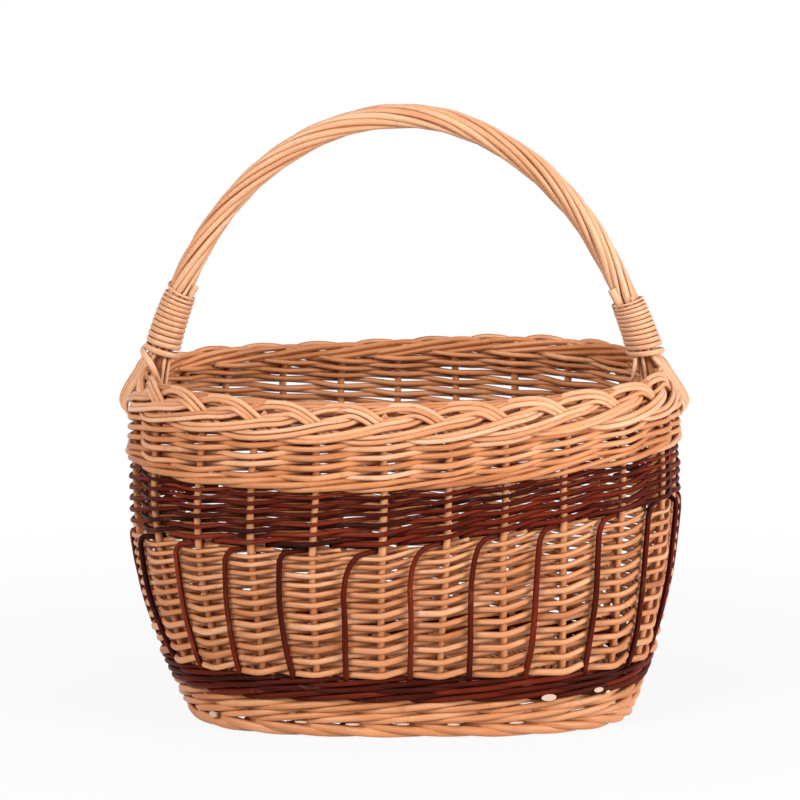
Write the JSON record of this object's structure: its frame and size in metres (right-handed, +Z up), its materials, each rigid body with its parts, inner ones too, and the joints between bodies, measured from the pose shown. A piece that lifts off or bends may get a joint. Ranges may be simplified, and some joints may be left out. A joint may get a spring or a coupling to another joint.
{
  "type": "mushroom foraging basket",
  "caption": "Oval woven willow foraging basket with a dark band, dark uprights, a plaited rim and a fixed roped bow handle bound at both ends",
  "frame": {"origin": "centre of the basket's oval on the surface it stands on, at the underside of the foot border", "axes": "+Z up, +X along the basket's long side and the handle's span, -Y towards the viewer"},
  "size_m": [0.4347, 0.3008, 0.4635],
  "materials": {
    "light_willow": "peeled and boiled willow, warm tan, slightly glossy",
    "pale_willow": "peeled willow, paler tan, slightly glossy",
    "dark_willow": "dark boiled or stained willow with its bark, mahogany brown, slightly glossy"
  },
  "bodies": {
    "root": {"base_sticks": "pale_willow", "base_weave_1": "pale_willow", "base_weave_2": "pale_willow", "binding_left": "pale_willow", "binding_right": "pale_willow", "dark_band_weave": "dark_willow", "foot_border": "pale_willow", "foot_wale": "pale_willow", "handle_bow": "light_willow", "handle_rope_rod_1": "light_willow", "handle_rope_rod_2": "light_willow", "handle_rope_rod_3": "light_willow", "handle_rope_rod_4": "light_willow", "handle_rope_rod_5": "light_willow", "handle_rope_rod_6": "light_willow", "handle_rope_rod_7": "light_willow", "handle_rope_rod_8": "light_willow", "handle_rope_rod_9": "light_willow", "lower_side_weave": "light_willow", "lower_wale_and_bars": "dark_willow", "plaited_rim": "pale_willow", "side_stake_01": "light_willow", "side_stake_02": "light_willow", "side_stake_03": "light_willow", "side_stake_04": "light_willow", "side_stake_05": "light_willow", "side_stake_06": "light_willow", "side_stake_07": "light_willow", "side_stake_08": "light_willow", "side_stake_09": "light_willow", "side_stake_10": "light_willow", "side_stake_11": "light_willow", "side_stake_12": "light_willow", "side_stake_13": "light_willow", "side_stake_14": "light_willow", "side_stake_15": "light_willow", "side_stake_16": "light_willow", "side_stake_17": "light_willow", "side_stake_18": "light_willow", "side_stake_19": "light_willow", "side_stake_20": "light_willow", "side_stake_21": "light_willow", "side_stake_22": "light_willow", "side_stake_23": "light_willow", "side_stake_24": "light_willow", "side_stake_25": "light_willow", "upper_side_weave": "light_willow", "upper_wale": "pale_willow"}
  },
  "joints": []
}
